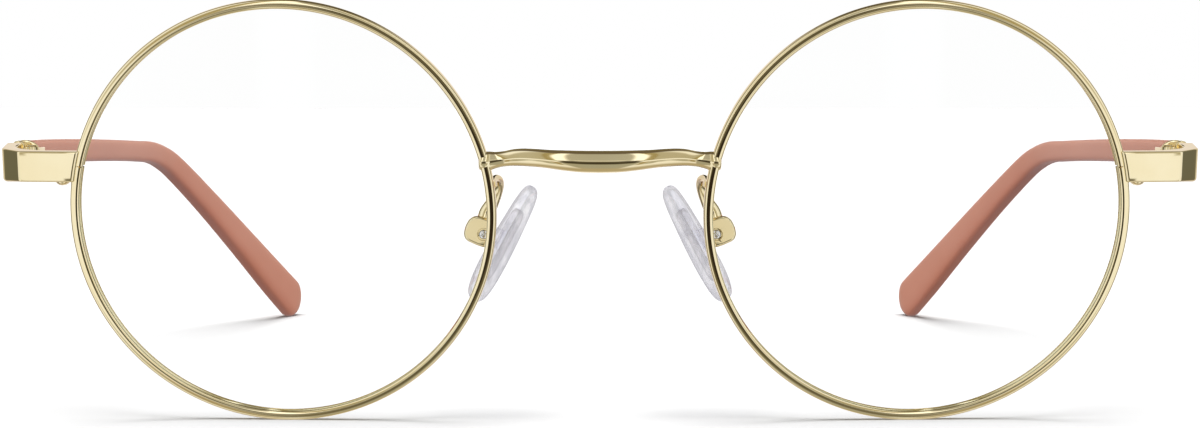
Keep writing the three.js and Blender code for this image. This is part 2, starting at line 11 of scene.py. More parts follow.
import bmesh
import bpy
import numpy as np
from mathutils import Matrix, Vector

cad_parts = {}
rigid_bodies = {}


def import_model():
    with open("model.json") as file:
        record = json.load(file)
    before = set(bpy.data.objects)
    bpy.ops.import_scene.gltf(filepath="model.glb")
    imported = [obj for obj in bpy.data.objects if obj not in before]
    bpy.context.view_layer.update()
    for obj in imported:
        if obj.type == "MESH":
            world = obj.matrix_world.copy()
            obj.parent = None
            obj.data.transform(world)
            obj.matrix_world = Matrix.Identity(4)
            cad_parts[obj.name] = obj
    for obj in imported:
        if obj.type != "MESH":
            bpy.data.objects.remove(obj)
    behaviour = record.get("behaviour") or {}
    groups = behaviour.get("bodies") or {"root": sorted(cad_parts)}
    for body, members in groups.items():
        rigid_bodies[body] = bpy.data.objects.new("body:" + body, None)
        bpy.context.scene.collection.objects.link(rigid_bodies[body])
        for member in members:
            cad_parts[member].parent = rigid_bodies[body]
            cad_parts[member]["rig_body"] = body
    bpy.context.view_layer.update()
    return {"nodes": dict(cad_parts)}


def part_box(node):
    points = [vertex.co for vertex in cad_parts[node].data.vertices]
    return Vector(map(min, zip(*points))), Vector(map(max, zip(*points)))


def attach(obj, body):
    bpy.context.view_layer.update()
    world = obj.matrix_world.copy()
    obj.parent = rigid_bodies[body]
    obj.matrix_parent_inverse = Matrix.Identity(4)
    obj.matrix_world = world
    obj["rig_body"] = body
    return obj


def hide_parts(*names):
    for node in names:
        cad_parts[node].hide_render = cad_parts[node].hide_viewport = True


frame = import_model()
scene = bpy.context.scene

# ---- driving dimensions, mm and degrees ------------------------------------------
RING_X, RING_Z, RING_R = 35.73, 23.77, 24.15    # rim centre and outer radius
RIM_RADIAL, RIM_DEPTH, GROOVE = 1.09, 1.45, 0.34
TILT, WRAP = 8.7, 2.8                           # rim plane leaned about x, then turned about its upright
SPLIT_RISE = 5.18                               # the cut in the rim, above the ring centre
LENS_R, LENS_SAG, LENS_EDGE = 23.12, 2.0, 1.0
PLATE_LOW, PLATE_HIGH = 3.42, 6.92              # end piece, above the ring centre
PLATE_FRONT, PLATE_THICK = -1.05, 1.1
PLATE_BACK = PLATE_FRONT + PLATE_THICK
CLOSING_ACROSS, CLOSING_DEPTH = -25.25, 1.05    # closing screw's axis, in the ring's frame
HINGE_X, HINGE_Y, HINGE_LOW, HINGE_HIGH = -65.45, 6.3, 28.65, 31.05
KNUCKLE_R, PIN_R, PIN_TAIL = 0.8, 0.32, 0.1
PAD_PIN = np.array([-13.3, 4.5, 21.1])          # nose pad screw
PAD_MID = np.array([-11.18, 5.6, 20.0])
BOX_LEAN = 18.0

pin_low, pin_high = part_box("hinge_screw_right")
SHIFT = np.array([
    0.0,
    (pin_low.y + pin_high.y) / 2 * 1000 - HINGE_Y,
    pin_low.z * 1000 - (HINGE_LOW - PIN_TAIL),
])

# ---- local frames: each maps local coordinates to the design frame ------------------
COS_TILT, SIN_TILT = cos(radians(TILT)), sin(radians(TILT))
COS_WRAP, SIN_WRAP = cos(radians(WRAP)), sin(radians(WRAP))
COS_LEAN, SIN_LEAN = cos(radians(BOX_LEAN)), sin(radians(BOX_LEAN))


def unit(vector):
    vector = np.asarray(vector, float)
    return vector / np.linalg.norm(vector)


def tilted(x, y, z):
    return np.array([x, y * COS_TILT - z * SIN_TILT, RING_Z + y * SIN_TILT + z * COS_TILT])


def on_ring(across, depth):
    """Plan place, before the tilt, of a point given from the ring centre."""
    return (-RING_X + across * COS_WRAP + depth * SIN_WRAP, -across * SIN_WRAP + depth * COS_WRAP)


def ring(across, rise, depth):
    return tilted(*on_ring(across, depth), rise)


def ring_plan(across, depth, rise):
    """Ring frame for plans drawn across and deep, then raised."""
    return ring(across, rise, depth)


def at_closing(x, y, rise):
    return ring_plan(CLOSING_ACROSS + x, CLOSING_DEPTH + y, rise)


def at_hinge(x, y, z):
    return np.array([HINGE_X + x, HINGE_Y + y, z])


def upright(x, z, y):
    """Design frame for outlines drawn in x and z, then raised along y."""
    return np.array([x, y, z])


def boxed(x, y, z):
    return PAD_PIN + np.array([x * COS_LEAN + z * SIN_LEAN, y, -x * SIN_LEAN + z * COS_LEAN])


def boxed_upright(x, z, y):
    return boxed(x, y, z)


PAD_UP = unit([0.475, -0.07, 0.877])
pad_facing = np.array([0.88, 0.27, -0.47])
PAD_OUT = unit(pad_facing - PAD_UP * pad_facing.dot(PAD_UP))
PAD_SIDE = np.cross(PAD_UP, PAD_OUT)


def padded(out, side, up):
    return PAD_MID + PAD_OUT * out + PAD_SIDE * side + PAD_UP * up


def padded_plan(up, side, out):
    return padded(out, side, up)


# ---- curves and outlines --------------------------------------------------------------
def quarter(steps):
    """Angles from 0 to a right angle."""
    return [pi / 2 * i / steps for i in range(steps + 1)]


def spline(rows, steps):
    """Catmull-Rom curve through the rows, all columns alike."""
    rows = np.asarray(rows, float)
    count, out = len(rows), []
    for i in range(count - 1):
        before, start = rows[max(i - 1, 0)], rows[i]
        end, after = rows[i + 1], rows[min(i + 2, count - 1)]
        for k in range(steps + (i == count - 2)):
            part = k / steps
            out.append(0.5 * (2 * start + (end - before) * part
                              + (2 * before - 5 * start + 4 * end - after) * part * part
                              + (3 * start - before - 3 * end + after) * part ** 3))
    return np.array(out)


def superpoint(angle, power):
    x, y = cos(angle), sin(angle)
    return copysign(abs(x) ** (2 / power), x), copysign(abs(y) ** (2 / power), y)


def superellipse(count, power):
    return [superpoint(2 * pi * (i + 0.5) / count, power) for i in range(count)]


def section(middle, side, up, thick, high, count, power):
    """Superellipse across a bar, thick along side and high along up."""
    return [middle + side * (thick / 2) * x + up * (high / 2) * y
            for x, y in superellipse(count, power)]


def rectangle(half_x, half_y):
    return [(-half_x, -half_y), (half_x, -half_y), (half_x, half_y), (-half_x, half_y)]


def inset(outline, distance):
    """Outline moved inwards; distance is one number or one per corner."""
    points = np.asarray(outline, float)
    distance = np.broadcast_to(np.asarray(distance, float), (len(points),))
    following = np.roll(points, -1, 0)
    area = np.sum(points[:, 0] * following[:, 1] - following[:, 0] * points[:, 1])
    turn = 1.0 if area > 0 else -1.0

    def normals(edges):
        across = np.stack([-edges[:, 1], edges[:, 0]], 1)
        return across / np.linalg.norm(edges, axis=1)[:, None] * turn

    normal_in, normal_out = normals(points - np.roll(points, 1, 0)), normals(following - points)
    spread = 1 + np.sum(normal_in * normal_out, 1)
    return points + (normal_in + normal_out) * (distance / np.maximum(spread, 0.35))[:, None]


def round_poly(outline, radius, steps=4):
    """Outline with corners rounded by arcs of up to radius (one number, or one per corner)."""
    points = [np.asarray(point, float) for point in outline]
    radii = np.broadcast_to(np.asarray(radius, float), (len(points),))
    out = []
    for i, corner in enumerate(points):
        before, after = points[i - 1], points[(i + 1) % len(points)]
        back, ahead = unit(before - corner), unit(after - corner)
        half = acos(max(-1, min(1, back.dot(ahead)))) / 2
        if radii[i] <= 0 or half > pi / 2 - 0.03:
            out.append(corner)
            continue
        reach = min(radii[i] / tan(half), 0.45 * np.linalg.norm(before - corner),
                    0.45 * np.linalg.norm(after - corner))
        fitted = reach * tan(half)
        centre = corner + unit(back + ahead) * fitted / sin(half)
        start, end = corner + back * reach - centre, corner + ahead * reach - centre
        for k in range(steps + 1):
            part = k / steps
            out.append(centre + unit(start * (1 - part) + end * part) * fitted)
    return np.array(out)


# ---- shells: (vertices, faces) ----------------------------------------------------------
def loft(loops, cap=(True, True)):
    """Skin through loops of equal length. A loop of one point closes that end."""
    verts, rows, faces = [], [], []
    for loop in loops:
        rows.append((len(verts), len(loop)))
        verts.extend(np.asarray(point, float) for point in loop)
    for (low, low_count), (high, high_count) in zip(rows, rows[1:]):
        count = max(low_count, high_count)
        for j in range(count):
            k = (j + 1) % count
            if low_count == 1:
                faces.append((low, high + k, high + j))
            elif high_count == 1:
                faces.append((low + j, low + k, high))
            else:
                faces.append((low + j, low + k, high + k, high + j))
    (first, first_count), (last, last_count) = rows[0], rows[-1]
    if cap[0] and first_count > 1:
        faces.append(tuple(range(first + first_count - 1, first - 1, -1)))
    if cap[1] and last_count > 1:
        faces.append(tuple(range(last, last + last_count)))
    return verts, faces


def turned(profile, count, to_frame):
    """Turned solid from profile rows of (radius, height)."""
    loops = []
    for radius, height in profile:
        if radius < 1e-9:
            loops.append([to_frame(0, 0, height)])
        else:
            loops.append([to_frame(radius * cos(2 * pi * j / count),
                                   radius * sin(2 * pi * j / count), height)
                          for j in range(count)])
    return loft(loops)


def rod(radius, low, high, count, to_frame):
    return turned([(0, low), (radius, low), (radius, high), (0, high)], count, to_frame)


def slab(outline, low, high, to_frame, rounding=0.15, steps=4):
    """Plan outline raised between two heights, its top and bottom edges rounded."""
    arc = quarter(steps)
    levels = [(low + rounding * (1 - cos(a)), rounding * (1 - sin(a))) for a in arc[:-1]]
    levels += [(low + rounding + (high - rounding - low - rounding) * i / 2, 0.0)
               for i in range(3)]
    levels += [(high - rounding * (1 - sin(a)), rounding * (1 - cos(a))) for a in arc[1:]]
    return loft([[to_frame(x, y, height) for x, y in inset(outline, inward)]
                 for height, inward in levels])


def box(x, y, z, rounding, corner=0.12, to_frame=lambda x, y, z: np.array([x, y, z])):
    """Box between pairs of x, y and z; corner rounds its upright edges."""
    plan = round_poly([[x[0], y[0]], [x[1], y[0]], [x[1], y[1]], [x[0], y[1]]], corner)
    return slab(plan, z[0], z[1], to_frame, rounding)


def dome(radius, rise, low, steps=7):
    """Profile rows of a domed head from its crown at height low to its rim."""
    return [(radius * sin(a), low + rise * (1 - cos(a))) for a in quarter(steps)]


# ---- meshes and objects -------------------------------------------------------------------
def to_mesh(shell):
    verts, faces = shell
    work = bmesh.new()
    corners = [work.verts.new(vert) for vert in verts]
    for face in faces:
        work.faces.new([corners[i] for i in face])
    bmesh.ops.remove_doubles(work, verts=work.verts, dist=1e-5)
    bmesh.ops.recalc_face_normals(work, faces=work.faces)
    mesh = bpy.data.meshes.new("work")
    work.to_mesh(mesh)
    work.free()
    return mesh


def shape(body, adds=(), cuts=(), edge=0.0):
    """Mesh of a shell with others added or cut away, its hard edges bevelled by edge."""
    work = bpy.data.objects.new("work", to_mesh(body))
    scene.collection.objects.link(work)
    helpers = [work]
    for operation, shells in (("UNION", adds), ("DIFFERENCE", cuts)):
        for shell in shells:
            tool = bpy.data.objects.new("tool", to_mesh(shell))
            scene.collection.objects.link(tool)
            helpers.append(tool)
            boolean = work.modifiers.new("bool", "BOOLEAN")
            boolean.operation = operation
            boolean.solver = "EXACT"
            boolean.object = tool
    if edge > 0:
        bevel = work.modifiers.new("edge", "BEVEL")
        bevel.width = edge
        bevel.segments = 2
        bevel.limit_method = "ANGLE"
        bevel.angle_limit = radians(40)
        bevel.use_clamp_overlap = True
    bpy.context.view_layer.update()
    solved = work.evaluated_get(bpy.context.evaluated_depsgraph_get())
    result = bpy.data.meshes.new_from_object(solved)
    for helper in helpers:
        mesh = helper.data
        bpy.data.objects.remove(helper)
        bpy.data.meshes.remove(mesh)
    return result


def slotted(profile, count, to_frame, slot, slot_low, slot_high):
    """Turned screw with a prism of plan slot cut into its head."""
    cutter = loft([[to_frame(x, y, height) for x, y in slot] for height in (slot_low, slot_high)])
    return shape(turned(profile, count, to_frame), cuts=[cutter], edge=0.018)


def add_piece(name, mesh, finish, node, mirror=False, weighted=False, sharp=40):
    """Put a design-frame mesh into the part in place of a CAD node. finish: (material, slot); the slot is not
    used.
    """
    material, slot = finish
    data = mesh.copy()
    data.name = name
    places = np.empty(len(data.vertices) * 3)
    data.vertices.foreach_get("co", places)
    places = places.reshape(-1, 3) + SHIFT
    if mirror:
        places[:, 0] *= -1
    data.vertices.foreach_set("co", (places / 1000).ravel())
    if mirror:
        data.flip_normals()
    data.materials.clear()
    data.materials.append(material)
    data.polygons.foreach_set("use_smooth", [True] * len(data.polygons))
    data.update()
    data.set_sharp_from_angle(angle=radians(sharp))
    piece = bpy.data.objects.new(name, data)
    scene.collection.objects.link(piece)
    if weighted:
        piece.modifiers.new("weighted", "WEIGHTED_NORMAL").keep_sharp = True
    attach(piece, frame["nodes"][node]["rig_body"])
    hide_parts(node)


def pair(name, mesh, finish, **options):
    for hand in ("right", "left"):
        add_piece(f"{name}_look_{hand}", mesh, finish, f"{name}_{hand}",
                  mirror=hand == "left", **options)


# ---- shader node helper ---------------------------------------------------------------------
class Nodes:
    """Builds a node tree. Any input takes a plain value, a socket or a node's first output."""

    def __init__(self, tree, output):
        self.tree = tree
        tree.nodes.clear()
        self.output = self.add(output)

    def put(self, socket, value):
        if isinstance(value, bpy.types.Node):
            value = value.outputs[0]
        if isinstance(value, bpy.types.NodeSocket):
            self.tree.links.new(value, socket)
        elif socket.type == "RGBA":
            socket.default_value = (*value, 1.0)
        else:
            socket.default_value = value

    def add(self, kind, **values):
        """New node. Lowercase names set properties, others set inputs, with _ for a space."""
        node = self.tree.nodes.new("ShaderNode" + kind)
        for name, value in values.items():
            if name[0].islower():
                setattr(node, name, value)
            else:
                self.put(node.inputs[name.replace("_", " ")], value)
        return node

    def surface(self, shader):
        self.put(self.output.inputs["Surface"], shader)

    def coords(self):
        return self.add("TexCoord").outputs["Object"]

    def facing(self):
        return self.add("LayerWeight", Blend=0.5).outputs["Facing"]

    def math(self, operation, *operands, clamp=False):
        node = self.add("Math", operation=operation, use_clamp=clamp)
        for socket, value in zip(node.inputs, operands):
            self.put(socket, value)
        return node

    def times(self, first, second):
        return self.math("MULTIPLY", first, second)

    def plus(self, first, second):
        return self.math("ADD", first, second)

    def ramp(self, factor, stops):
        """Linear ramp through stops of (position, grey level or colour)."""
        node = self.add("ValToRGB")
        elements = node.color_ramp.elements
        node.color_ramp.interpolation = "LINEAR"
        while len(elements) > 1:
            elements.remove(elements[-1])
        for i, (position, colour) in enumerate(stops):
            element = elements[0] if i == 0 else elements.new(position)
            element.position = position
            grey = isinstance(colour, (int, float))
            element.color = (*((colour,) * 3 if grey else colour), 1.0)
        self.put(node.inputs[0], factor)
        return node

    def mix(self, factor, under, over):
        node = self.add("Mix", data_type="RGBA")
        for i, value in ((0, factor), (6, under), (7, over)):
            self.put(node.inputs[i], value)
        return node.outputs[2]

    def mix_shaders(self, factor, under, over):
        node = self.add("MixShader")
        for socket, value in zip(node.inputs, (factor, under, over)):
            self.put(socket, value)
        return node

    def noise(self, vector, scale, detail=3.0, rough=0.5, stretch=None, seed=0.0):
        if stretch:
            vector = self.add("Mapping", Scale=stretch, Vector=vector)
        return self.add("TexNoise", noise_dimensions="4D", W=seed, Scale=scale, Detail=detail,
                        Roughness=rough, Vector=vector)


def new_material(name):
    material = bpy.data.materials.new(name)
    material.use_nodes = True
    return material, Nodes(material.node_tree, "OutputMaterial")


# ---- materials --------------------------------------------------------------------------------
def polished_material(name, base, deep, rough):
    """Polished metal: faint tone drift, buffing lines and a little unevenness in the polish."""
    material, nodes = new_material(name)
    coords = nodes.coords()
    drift = nodes.noise(coords, scale=170, detail=2.0)
    lines = nodes.noise(coords, scale=900, detail=4.0, rough=0.6, stretch=(6.0, 1.0, 1.5), seed=3.1)
    fine = nodes.noise(coords, scale=5200, detail=2.0, rough=0.6, seed=7.7)
    uneven = nodes.plus(nodes.times(lines, 0.030), nodes.times(fine, 0.018))
    nodes.surface(nodes.add(
        "BsdfPrincipled",
        Base_Color=nodes.mix(nodes.ramp(drift, [(0.35, 0.0), (0.65, 1.0)]), base, deep),
        Roughness=nodes.plus(uneven, rough),
        Metallic=1.0,
        Specular_Tint=(1.0, 0.95, 0.92),
        Normal=nodes.add("Bump", Strength=0.02, Distance=0.000004,
                         Height=nodes.plus(nodes.times(fine, 0.5), lines)),
    ))
    return material


def sleeve_material():
    """Satin dyed acetate: cloudy colour, a fine tumbled grain, soft light scatter."""
    material, nodes = new_material("sleeve_acetate")
    coords = nodes.coords()
    cloud = nodes.noise(coords, scale=120, detail=4.0, rough=0.55, stretch=(1.0, 0.35, 1.0), seed=1.3)
    grain = nodes.noise(coords, scale=2600, rough=0.6, seed=5.0)
    pores = nodes.noise(coords, scale=7000, detail=2.0, rough=0.6, seed=9.0)
    colour = nodes.mix(nodes.ramp(cloud, [(0.30, 0.0), (0.70, 1.0)]),
                       (0.628, 0.250, 0.154), (0.580, 0.218, 0.130))
    grain_share = nodes.times(nodes.ramp(grain, [(0.40, 0.0), (0.75, 1.0)]), 0.16)
    nodes.surface(nodes.add(
        "BsdfPrincipled",
        Base_Color=nodes.mix(grain_share, colour, (0.675, 0.295, 0.194)),
        Roughness=nodes.plus(nodes.times(grain, 0.14), 0.40),
        Specular_IOR_Level=0.38,
        Sheen_Weight=0.12,
        Sheen_Roughness=0.4,
        Sheen_Tint=(1.0, 0.82, 0.80),
        Subsurface_Weight=0.06,
        Subsurface_Radius=(0.0010, 0.0005, 0.0004),
        Subsurface_Scale=0.6,
        Normal=nodes.add("Bump", Strength=0.20, Distance=0.00002,
                         Height=nodes.plus(grain, nodes.times(pores, 0.6))),
    ))
    return material


def clear_material(name, face_tint, edge_tint, falloff, gloss, rough, streaks, scale, seed):
    """Clear moulded plastic: light passes straight on, dims towards the edges, picks up streaks."""
    material, nodes = new_material(name)
    coords = nodes.coords()
    slant = nodes.math("POWER", nodes.facing(), falloff, clamp=True)
    flow = nodes.noise(coords, scale=scale, detail=4.0, rough=0.6, stretch=(1.0, 1.0, 0.45), seed=seed)
    grit = nodes.noise(coords, scale=scale * 5, detail=2.0, rough=0.6, seed=seed + 2)
    veins = nodes.ramp(flow, [(0.40, 0.0), (0.50, 1.0), (0.54, 1.0), (0.64, 0.0)])
    tint = nodes.mix(slant, face_tint, edge_tint)
    tint = nodes.mix(nodes.times(veins, streaks), tint, edge_tint)
    shine = nodes.add(
        "BsdfGlossy",
        Roughness=nodes.plus(nodes.times(grit, rough), rough * 0.6),
        Normal=nodes.add("Bump", Strength=0.12, Distance=0.00004,
                         Height=nodes.plus(flow, nodes.times(grit, 0.4))),
    )
    reflected = nodes.times(nodes.add("Fresnel", IOR=1.43), gloss)
    nodes.surface(nodes.mix_shaders(nodes.math("MINIMUM", reflected, 0.30),
                                    nodes.add("BsdfTransparent", Color=tint), shine))
    return material


def lens_material():
    """Clear lens with a faint coating bloom, strongest at a slant."""
    material, nodes = new_material("lens_clear")
    facing = nodes.facing()
    slant = nodes.math("POWER", facing, 4.0, clamp=True)
    drift = nodes.noise(nodes.coords(), scale=45, detail=2.0, seed=2.0)
    coating = nodes.mix(nodes.ramp(drift, [(0.3, 0.0), (0.7, 1.0)]),
                        (0.80, 0.93, 1.0), (0.88, 1.0, 0.93))
    clear = nodes.mix(slant, (0.998, 0.999, 0.999), (0.86, 0.90, 0.90))
    # shadow rays are dimmed, so the lens casts a soft shadow
    shadow_ray = nodes.add("LightPath").outputs["Is Shadow Ray"]
    shine = nodes.add("BsdfGlossy", Color=coating,
                      Roughness=nodes.plus(nodes.times(drift, 0.02), 0.015))
    reflected = nodes.times(nodes.math("POWER", facing, 3.0), 0.38)
    nodes.surface(nodes.mix_shaders(
        nodes.math("ADD", reflected, 0.006, clamp=True),
        nodes.add("BsdfTransparent", Color=nodes.mix(shadow_ray, clear, (0.80, 0.80, 0.81))),
        shine,
    ))
    return material


# Finishes: (material, slot)
GOLD = (polished_material("gold_polished", base=(0.900, 0.800, 0.540), deep=(0.865, 0.750, 0.475),
                          rough=0.030), "gold_metal")
STEEL = (polished_material("steel_screw", base=(0.800, 0.800, 0.805), deep=(0.720, 0.725, 0.735),
                           rough=0.085), "screw_steel")
SLEEVE = (sleeve_material(), "temple_sleeve")
SILICONE = (clear_material("pad_silicone", face_tint=(0.955, 0.953, 0.970),
                           edge_tint=(0.540, 0.540, 0.600), falloff=4.2, gloss=0.9, rough=0.10,
                           streaks=0.30, scale=420, seed=4.0), "pad_silicone")
INSERT = (clear_material("pad_insert", face_tint=(0.990, 0.988, 0.996),
                         edge_tint=(0.860, 0.862, 0.900), falloff=6.0, gloss=0.8, rough=0.06,
                         streaks=0.35, scale=600, seed=8.0), "pad_insert")
LENS = (lens_material(), "lens")


# ---- eyewire and lens -------------------------------------------------------------------------
def eyewire():
    """Rim wire grooved for the lens and cut through on its outer side."""
    middle_r = RING_R - RIM_RADIAL / 2
    split = pi - asin(SPLIT_RISE / middle_r)
    half_width, half_depth, power = 0.550, RIM_DEPTH / 2 - 0.01, 3.8
    sweep = 2.7                         # the superellipse stops this far round, short of the groove
    mouth = -RIM_RADIAL * 0.42          # groove mouth, from the wire's middle
    profile = []                        # (radial, depth) from the wire's middle
    for k in range(41):
        x, y = superpoint(-sweep + 2 * sweep * k / 40, power)
        profile.append((half_width * x, half_depth * y))
    lip = [(mouth - 0.004, 0.46), (mouth - 0.002, 0.36), (mouth + 0.03, 0.315),
           (mouth + 0.16, 0.22), (mouth + GROOVE - 0.04, 0.09), (mouth + GROOVE, 0.0)]
    profile += lip + [(radial, -depth) for radial, depth in reversed(lip[:-1])]
    loops, count = [], 288
    for i in range(count + 1):
        loop = []
        for radial, depth in profile:
            # the cut is wider towards the lens
            inner = min(1.0, max(0.0, (0.12 - radial) / 0.42))
            gap = (0.012 + 0.085 * inner) / RING_R
            angle = split + 2 * pi * i / count
            if i == 0:
                angle = split + gap
            elif i == count:
                angle = split + 2 * pi - gap
            radius = middle_r + radial
            loop.append(ring(radius * cos(angle), radius * sin(angle), depth))
        loops.append(loop)
    return to_mesh(loft(loops))


def lens():
    """Lens bulging to the front, with a ridge round its edge that sits in the rim's groove."""
    half = LENS_EDGE / 2
    bevel, land, shoulder = 0.06, 0.44, 0.32
    ridge_r, ridge_half = LENS_R + GROOVE - 0.09, 0.03
    radii = [LENS_R * share for share in np.linspace(0, 1, 22)[:-1]]
    bulge = [(radius, -LENS_SAG * (1 - (radius / LENS_R) ** 2)) for radius in radii]
    profile = [(radius, -half + depth) for radius, depth in bulge]
    profile += [(LENS_R - bevel, -half), (LENS_R, -land), (LENS_R, -shoulder),
                (ridge_r, -ridge_half), (ridge_r, ridge_half),
                (LENS_R, shoulder), (LENS_R, land), (LENS_R - bevel, half)]
    profile += [(radius, half + depth) for radius, depth in reversed(bulge)]
    return to_mesh(turned(profile, 144, ring))


pair("eyewire", eyewire(), GOLD, sharp=50)
pair("lens", lens(), LENS, sharp=25)

# ---- end piece --------------------------------------------------------------------------------
PLATE_ROUND, PLATE_SIDE_ROUND = 0.19, 0.34      # edge rounding; the second is under the side
PLATE_DROP = 0.30                               # brings the underside level by the corner
# Outer face round the corner in plan: x, y, with the rounding of each corner
PLATE_OUTER = [on_ring(-27.0, PLATE_FRONT), on_ring(-29.66, PLATE_FRONT),
               (-67.76, 2.30), (-67.93, 4.6), (-67.94, 6.0)]
PLATE_OUTER_RADII = [0, 0.70, 1.7, 2.0, 0]
# Back end, then the inner face to the front: x, y, share of the side rounding
PLATE_INNER = [
    (-67.94, 6.10, 1.0), (-67.90, 6.18, 1.0), (-66.42, 6.18, 0.25), (-66.36, 6.08, 0.2),
    (-66.36, 4.3, 0.15), (-66.33, 3.8, 0.15), (-66.2, 3.4, 0.15), (-66.0, 3.0, 0.15),
    (-65.7, 2.6, 0.15), (-65.32, 2.3, 0.15), (-64.9, 2.05, 0.15), (-64.42, 1.87, 0.15),
    (-63.9, 1.7, 0.15), (*on_ring(-27.3, PLATE_BACK), 0.1), (*on_ring(-25.4, PLATE_BACK), 0.0),
]


def plate_height(part, share, bottom, low_round, high_round):
    """Height within the plate's low edge (part 0), wall (1) or high edge (2)."""
    marks = (bottom, bottom + low_round, PLATE_HIGH - high_round, PLATE_HIGH)
    return marks[part] + (marks[part + 1] - marks[part]) * share


def endpiece():
    """Plate from the rim round the front corner to the hinge, built up level by level."""
    fixed = [(*on_ring(across, PLATE_FRONT), 0.0) for across in (-25.2, -26.4, -27.6, -28.4)]
    fixed += [(x, y, min(1.0, max(0.0, -65.6 - x)))
              for x, y in round_poly(PLATE_OUTER, PLATE_OUTER_RADII, 8)[1:-1]]
    fixed += PLATE_INNER
    arc = quarter(7)
    # (part, share up that part, share of the inset)
    levels = [(0, 1 - cos(a), 1 - sin(a)) for a in arc[:-1]]
    levels += [(1, i / 6, 0.0) for i in range(7)]
    levels += [(2, sin(a), 1 - cos(a)) for a in arc[1:]]
    loops = []
    for part, share, inset_share in levels:
        # where the plate's end runs out on the rim
        rise = plate_height(part, share, PLATE_LOW, 0.3, 0.3)
        land = -sqrt((RING_R - 0.44) ** 2 - rise ** 2)
        start = [(*on_ring(land - 0.46 * (1 - cos(a)), -0.58 - (-PLATE_FRONT - 0.58) * sin(a)), 0.0)
                 for a in arc]
        end = [(*on_ring(land - 0.34, depth), 0.0) for depth in (PLATE_BACK, -0.30)]
        table = np.array(start + fixed + end)
        plan, x, y, side = table[:, :2], table[:, 0], table[:, 1], table[:, 2]
        # the short corners of the back end take only a small rounding
        limit = np.where((y > 6.0) & (x < -66), 0.06, 9.0)
        low_round = np.minimum(limit, PLATE_ROUND + (PLATE_SIDE_ROUND - PLATE_ROUND) * side)
        high_round = np.minimum(limit, PLATE_ROUND)
        bottom = PLATE_LOW - PLATE_DROP * np.clip((-65.9 - x) / 1.5, 0, 1)
        heights = plate_height(part, share, bottom, low_round, high_round)
        inner = inset(plan, (high_round if part == 2 else low_round) * inset_share)
        loops.append([tilted(*point, height) for point, height in zip(inner, heights)])
    mesh = to_mesh(loft(loops))
    # the caps are concave, so they are cut into triangles
    work = bmesh.new()
    work.from_mesh(mesh)
    caps = [face for face in work.faces if len(face.verts) > 4]
    bmesh.ops.triangulate(work, faces=caps, ngon_method="EAR_CLIP")
    work.to_mesh(mesh)
    work.free()
    return mesh


pair("endpiece", endpiece(), GOLD, sharp=48, weighted=True)

# ---- closing blocks and screw -----------------------------------------------------------------
# Plan of both blocks: across, depth
BLOCK_PLAN = round_poly([[-26.45, PLATE_BACK - 0.04], [-23.6, PLATE_BACK - 0.04], [-23.45, 1.1],
                         [-24.3, 2.0], [-26.45, 2.0]], [0.1, 0.05, 0.2, 0.5, 0.55], 6)
BLOCK_GAP = 0.06                                # from the rim's cut to each block


def closing_block(low, high):
    hole = rod(0.40, 0, 9, 32, at_closing)
    return shape(slab(BLOCK_PLAN, low, high, ring_plan, rounding=0.12), cuts=[hole])


# (radius, height): domed head below, shank above
CLOSING_PROFILE = dome(radius=0.8, rise=0.52, low=2.70) + [
    (0.8, 3.44), (0.76, 3.5), (0.36, 3.5), (0.36, 6.15), (0.30, 6.2), (0, 6.2)]

pair("block_upper", closing_block(SPLIT_RISE + BLOCK_GAP, PLATE_HIGH - 0.5), GOLD, weighted=True)
pair("block_lower", closing_block(PLATE_LOW + 0.12, SPLIT_RISE - BLOCK_GAP), GOLD, weighted=True)
pair("closing_screw",
     slotted(CLOSING_PROFILE, 40, at_closing, rectangle(0.9, 0.10), slot_low=2.4, slot_high=2.9),
     GOLD, weighted=True)

# ---- hinge ------------------------------------------------------------------------------------
MID_LOW, MID_HIGH = HINGE_LOW + 0.8, HINGE_HIGH - 0.8       # the temple's knuckle
KNUCKLE_GAP, KNUCKLE_BEVEL = 0.05, 0.06
BORE = rod(PIN_R + 0.03, HINGE_LOW - 1, HINGE_HIGH + 1, 32, at_hinge)


def knuckle(low, high):
    outer, inner = KNUCKLE_R - KNUCKLE_BEVEL * 0.3, KNUCKLE_R - KNUCKLE_BEVEL
    profile = [(0, low), (inner, low), (outer, low + KNUCKLE_BEVEL * 0.3),
               (KNUCKLE_R, low + KNUCKLE_BEVEL), (KNUCKLE_R, high - KNUCKLE_BEVEL),
               (outer, high - KNUCKLE_BEVEL * 0.3), (inner, high), (0, high)]
    return turned(profile, 48, at_hinge)


def knuckle_web(x, y, low, high):
    """Block that joins a knuckle to its leaf."""
    return box(x, y, (low + 0.01, high - 0.01), rounding=0.05, corner=0.11)


def hinge_front():
    """Leaf inside the end piece with the outer two knuckles."""
    leaf = box(x=(-66.40, -65.8), y=(3.9, HINGE_Y - 0.9),
               z=(HINGE_LOW + 0.2, HINGE_HIGH - 0.15), rounding=0.1)
    adds = []
    for low, high in ((HINGE_LOW, MID_LOW - KNUCKLE_GAP), (MID_HIGH + KNUCKLE_GAP, HINGE_HIGH)):
        adds.append(knuckle(low, high))
        adds.append(knuckle_web((-66.24, -65.5), (HINGE_Y - 1.2, HINGE_Y), low, high))
    return shape(leaf, adds, cuts=[BORE])


def hinge_temple():
    """Leaf on the temple with the middle knuckle."""
    leaf = box(x=(-65.50, -64.88), y=(HINGE_Y + 0.92, HINGE_Y + 4.2),
               z=(HINGE_LOW + 0.3, HINGE_HIGH - 0.1), rounding=0.1, corner=0.2)
    web = knuckle_web((-65.45, -64.85), (HINGE_Y, HINGE_Y + 1.3), MID_LOW, MID_HIGH)
    return shape(leaf, [knuckle(MID_LOW, MID_HIGH), web], cuts=[BORE])


